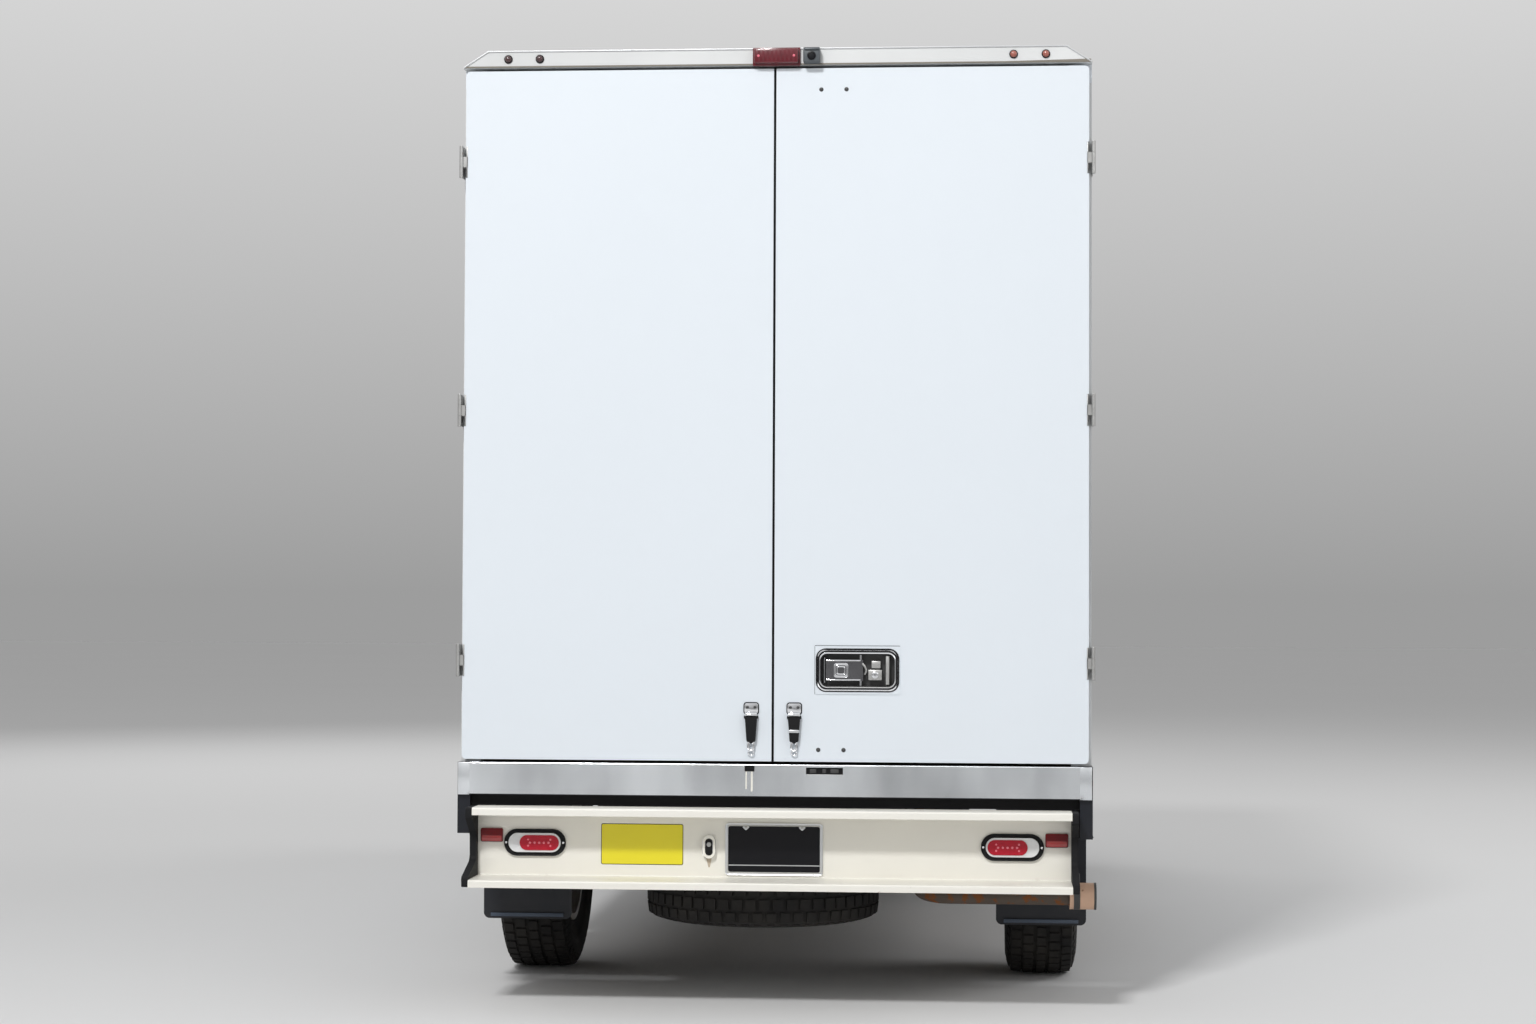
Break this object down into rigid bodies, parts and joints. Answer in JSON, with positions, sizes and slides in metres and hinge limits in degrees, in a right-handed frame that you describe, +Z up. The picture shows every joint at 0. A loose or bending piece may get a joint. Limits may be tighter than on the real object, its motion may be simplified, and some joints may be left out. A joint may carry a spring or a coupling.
{
  "type": "cutaway van",
  "caption": "Box-bodied cutaway van with a short-bonnet cab, full-height hinged rear doors, a step bumper and wheels that roll and steer.",
  "frame": {"origin": "on the ground below the middle of the vehicle's overall length and width", "axes": "+Y forwards, +X to the vehicle's right, +Z up"},
  "size_m": [2.336, 5.6, 3.078],
  "materials": {
    "body_white": "satin white paint",
    "cream_steel": "cream white paint with light rust",
    "floor_board": "worn hardwood boards",
    "black_trim": "matte moulded",
    "black_steel": "black chassis paint",
    "cast_metal": "rough cast",
    "exhaust_steel": "dull, heat-tinted",
    "polished_sill": "brushed",
    "chrome_trim": "polished",
    "hinge_steel": "zinc plated",
    "red_lens": "clear moulded red",
    "clear_lens": "clear moulded",
    "glass": "clear",
    "seat_cloth": "woven",
    "rim_paint": "silver paint",
    "tyre": "black rubber"
  },
  "bodies": {
    "chassis": {"box_floor": "floor_board", "box_front_wall": "body_white", "box_roof": "body_white", "box_side_left": "body_white", "box_side_right": "body_white", "cab_floor": "black_steel", "cab_shell": "body_white", "camera_housing": "black_trim", "dashboard": "black_trim", "door_hinges": "hinge_steel", "drivetrain": "cast_metal", "exhaust": "exhaust_steel", "front_bumper": "black_trim", "front_suspension": "black_steel", "fuel_tank": "black_steel", "grille": "black_trim", "headlamps": "clear_lens", "ladder_frame": "black_steel", "marker_lamps": "red_lens", "number_plate": "black_trim", "rear_axle": "black_steel", "rear_bumper": "cream_steel", "rear_frame": "body_white", "rear_lamps": "red_lens", "rear_sill": "polished_sill", "seats": "seat_cloth", "side_skirts": "black_trim", "spare_wheel": "tyre", "stop_lamp": "red_lens", "windscreen": "glass"},
    "rear_door_left": {"rear_door_left": "body_white", "door_hardware_left": "hinge_steel"},
    "rear_door_right": {"rear_door_right": "body_white", "door_hardware_right": "hinge_steel", "door_latch": "chrome_trim"},
    "cab_door_left": {"cab_door_left": "body_white", "cab_glass_left": "glass", "mirror_left": "black_trim"},
    "cab_door_right": {"cab_door_right": "body_white", "cab_glass_right": "glass", "mirror_right": "black_trim"},
    "bonnet": {"bonnet": "body_white"},
    "knuckle_left": {"knuckle_left": "cast_metal"},
    "knuckle_right": {"knuckle_right": "cast_metal"},
    "steering_wheel": {"steering_wheel": "black_trim"},
    "wheel_front_left": {"tyre_front_left": "tyre", "rim_front_left": "rim_paint"},
    "wheel_front_right": {"tyre_front_right": "tyre", "rim_front_right": "rim_paint"},
    "wheel_rear_left": {"tyre_rear_left": "tyre", "rim_rear_left": "rim_paint"},
    "wheel_rear_right": {"tyre_rear_right": "tyre", "rim_rear_right": "rim_paint"}
  },
  "joints": [
    {"name": "steer_left", "type": "hinge", "parent": "chassis", "child": "knuckle_left", "pos_m": [-0.8, 1.87, 0.387], "axis": [0, 0, 1], "range_deg": [-32, 32]},
    {"name": "steer_right", "type": "hinge", "parent": "chassis", "child": "knuckle_right", "pos_m": [0.8, 1.87, 0.387], "axis": [0, 0, 1], "range_deg": [-32, 32]},
    {"name": "steering_wheel_turn", "type": "hinge", "parent": "chassis", "child": "steering_wheel", "pos_m": [-0.47, 1.53, 1.215], "axis": [0, -0.8192, 0.5736], "range_deg": [-482, 482]},
    {"name": "wheel_front_left_spin", "type": "hinge", "parent": "knuckle_left", "child": "wheel_front_left", "pos_m": [-0.865, 1.87, 0.387], "axis": [1, 0, 0], "continuous": true},
    {"name": "wheel_front_right_spin", "type": "hinge", "parent": "knuckle_right", "child": "wheel_front_right", "pos_m": [0.865, 1.87, 0.387], "axis": [1, 0, 0], "continuous": true},
    {"name": "wheel_rear_left_spin", "type": "hinge", "parent": "chassis", "child": "wheel_rear_left", "pos_m": [-0.872, -1.66, 0.387], "axis": [1, 0, 0], "continuous": true},
    {"name": "wheel_rear_right_spin", "type": "hinge", "parent": "chassis", "child": "wheel_rear_right", "pos_m": [0.872, -1.66, 0.387], "axis": [1, 0, 0], "continuous": true},
    {"name": "rear_door_left_swing", "type": "hinge", "parent": "chassis", "child": "rear_door_left", "pos_m": [-1.02, -2.626, 1.9], "axis": [0, 0, -1], "range_deg": [0, 265]},
    {"name": "rear_door_right_swing", "type": "hinge", "parent": "chassis", "child": "rear_door_right", "pos_m": [1.02, -2.626, 1.9], "axis": [0, 0, 1], "range_deg": [0, 265]},
    {"name": "cab_door_left_swing", "type": "hinge", "parent": "chassis", "child": "cab_door_left", "pos_m": [-0.992, 1.603, 1.2], "axis": [0, 0, -1], "range_deg": [0, 65]},
    {"name": "cab_door_right_swing", "type": "hinge", "parent": "chassis", "child": "cab_door_right", "pos_m": [0.992, 1.603, 1.2], "axis": [0, 0, 1], "range_deg": [0, 65]},
    {"name": "bonnet_lift", "type": "hinge", "parent": "chassis", "child": "bonnet", "pos_m": [0, 1.96, 1.372], "axis": [1, 0, 0], "range_deg": [0, 55]}
  ],
  "couplings": [
    {"joint": "steer_right", "follows": "steer_left", "ratio": 1},
    {"joint": "steering_wheel_turn", "follows": "steer_left", "ratio": 15}
  ]
}
